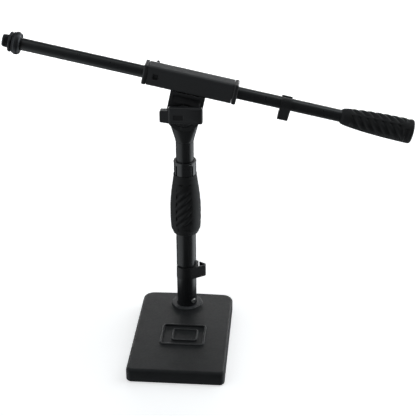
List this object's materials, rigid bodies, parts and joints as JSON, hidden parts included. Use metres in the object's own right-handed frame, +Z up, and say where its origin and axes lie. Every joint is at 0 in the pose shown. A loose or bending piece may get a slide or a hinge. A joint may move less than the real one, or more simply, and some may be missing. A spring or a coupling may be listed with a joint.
{
  "type": "boom microphone stand",
  "caption": "Short weighted-base microphone stand with a telescoping post, twist clutch, tilt joint, sliding counterweighted boom and cable clips.",
  "frame": {"origin": "centre of the base pad's underside, on the surface the stand rests on", "axes": "+X along the base's width and the boom towards the counterweight, +Y to the rear where the post stands, +Z up"},
  "size_m": [0.4957, 0.183, 0.3882],
  "materials": {
    "base_paint": "fine textured satin black powder coat",
    "foot_rubber": "matte",
    "tube_paint": "smooth satin black",
    "black_steel": "black plated steel, semi-gloss",
    "zinc_steel": "bright zinc plate",
    "cast_iron": "as cast",
    "gloss_black": "polished black",
    "moulded_black": "moulded satin black, fine grain",
    "soft_grip": "soft matte, diagonal ribs",
    "clip_plastic": "moulded semi-matte",
    "nylon": "natural nylon",
    "brass": "plain"
  },
  "bodies": {
    "base": {"base_casting": "base_paint", "base_pad": "foot_rubber", "base_bolt": "zinc_steel", "bolt_washer": "zinc_steel", "post_foot_plug": "cast_iron", "post_set_screw": "zinc_steel", "lower_tube": "tube_paint", "clutch_body": "black_steel", "clutch_collet": "gloss_black"},
    "post_clip": {"post_cable_clip": "clip_plastic"},
    "clutch": {"clutch_nut": "moulded_black", "clutch_grip": "soft_grip"},
    "mast_guide": {"mast_bush": "nylon"},
    "mast": {"upper_tube": "tube_paint", "yoke": "moulded_black"},
    "head": {"tilt_head": "moulded_black", "saddle_screw_left": "zinc_steel", "saddle_screw_right": "zinc_steel", "tilt_bolt": "zinc_steel", "tilt_bolt_washer": "zinc_steel", "friction_washer_front": "nylon", "friction_washer_rear": "nylon", "lever_washer": "zinc_steel", "clamp_housing": "moulded_black", "end_bush_left": "moulded_black", "end_bush_right": "moulded_black", "anvil_pad": "moulded_black", "clamp_shoe": "nylon", "thread_insert": "brass"},
    "lever": {"tilt_lever": "moulded_black", "lever_nut": "brass"},
    "lock_knob": {"wing_knob": "moulded_black", "lock_stud": "zinc_steel"},
    "liner": {"boom_liner": "nylon"},
    "boom": {"boom_tube": "tube_paint", "boom_end_plug": "zinc_steel", "thread_adapter": "black_steel", "counterweight_core": "cast_iron", "counterweight_grip": "soft_grip"},
    "mic_lock_ring": {"lock_ring": "black_steel"},
    "boom_clip": {"boom_cable_clip": "clip_plastic"}
  },
  "joints": [
    {"name": "post_clip_slide", "type": "slide", "parent": "base", "child": "post_clip", "axis": [0, 0, 1], "range_m": [-0.029, 0.047]},
    {"name": "clutch_twist", "type": "hinge", "parent": "base", "child": "clutch", "pos_m": [0, 0.064, 0.17], "axis": [0, 0, 1], "range_deg": [0, 120]},
    {"name": "mast_height", "type": "slide", "parent": "base", "child": "mast_guide", "axis": [0, 0, 1], "range_m": [-0.017, 0.09]},
    {"name": "mast_swivel", "type": "hinge", "parent": "mast_guide", "child": "mast", "pos_m": [0, 0.064, 0.16], "axis": [0, 0, 1], "continuous": true},
    {"name": "boom_tilt", "type": "hinge", "parent": "mast", "child": "head", "pos_m": [0, 0.064, 0.291], "axis": [0, 1, 0], "range_deg": [-72, 48]},
    {"name": "tilt_lever_turn", "type": "hinge", "parent": "head", "child": "lever", "pos_m": [0, 0.064, 0.291], "axis": [0, -1, 0], "range_deg": [0, 360]},
    {"name": "lock_knob_turn", "type": "hinge", "parent": "head", "child": "lock_knob", "pos_m": [-0.03275, 0.064, 0.33896], "axis": [0, 1, 0], "range_deg": [0, 360]},
    {"name": "boom_roll", "type": "hinge", "parent": "head", "child": "liner", "pos_m": [0.00834, 0.064, 0.33022], "axis": [0.9781, 0, -0.2079], "continuous": true},
    {"name": "boom_slide", "type": "slide", "parent": "liner", "child": "boom", "axis": [0.9781, 0, -0.2079], "range_m": [-0.04, 0.14]},
    {"name": "lock_ring_turn", "type": "hinge", "parent": "boom", "child": "mic_lock_ring", "pos_m": [-0.20676, 0.064, 0.37594], "axis": [0.9781, 0, -0.2079], "range_deg": [0, 360]},
    {"name": "boom_clip_slide", "type": "slide", "parent": "boom", "child": "boom_clip", "axis": [0.9781, 0, -0.2079], "range_m": [-0.01, 0.055]}
  ]
}
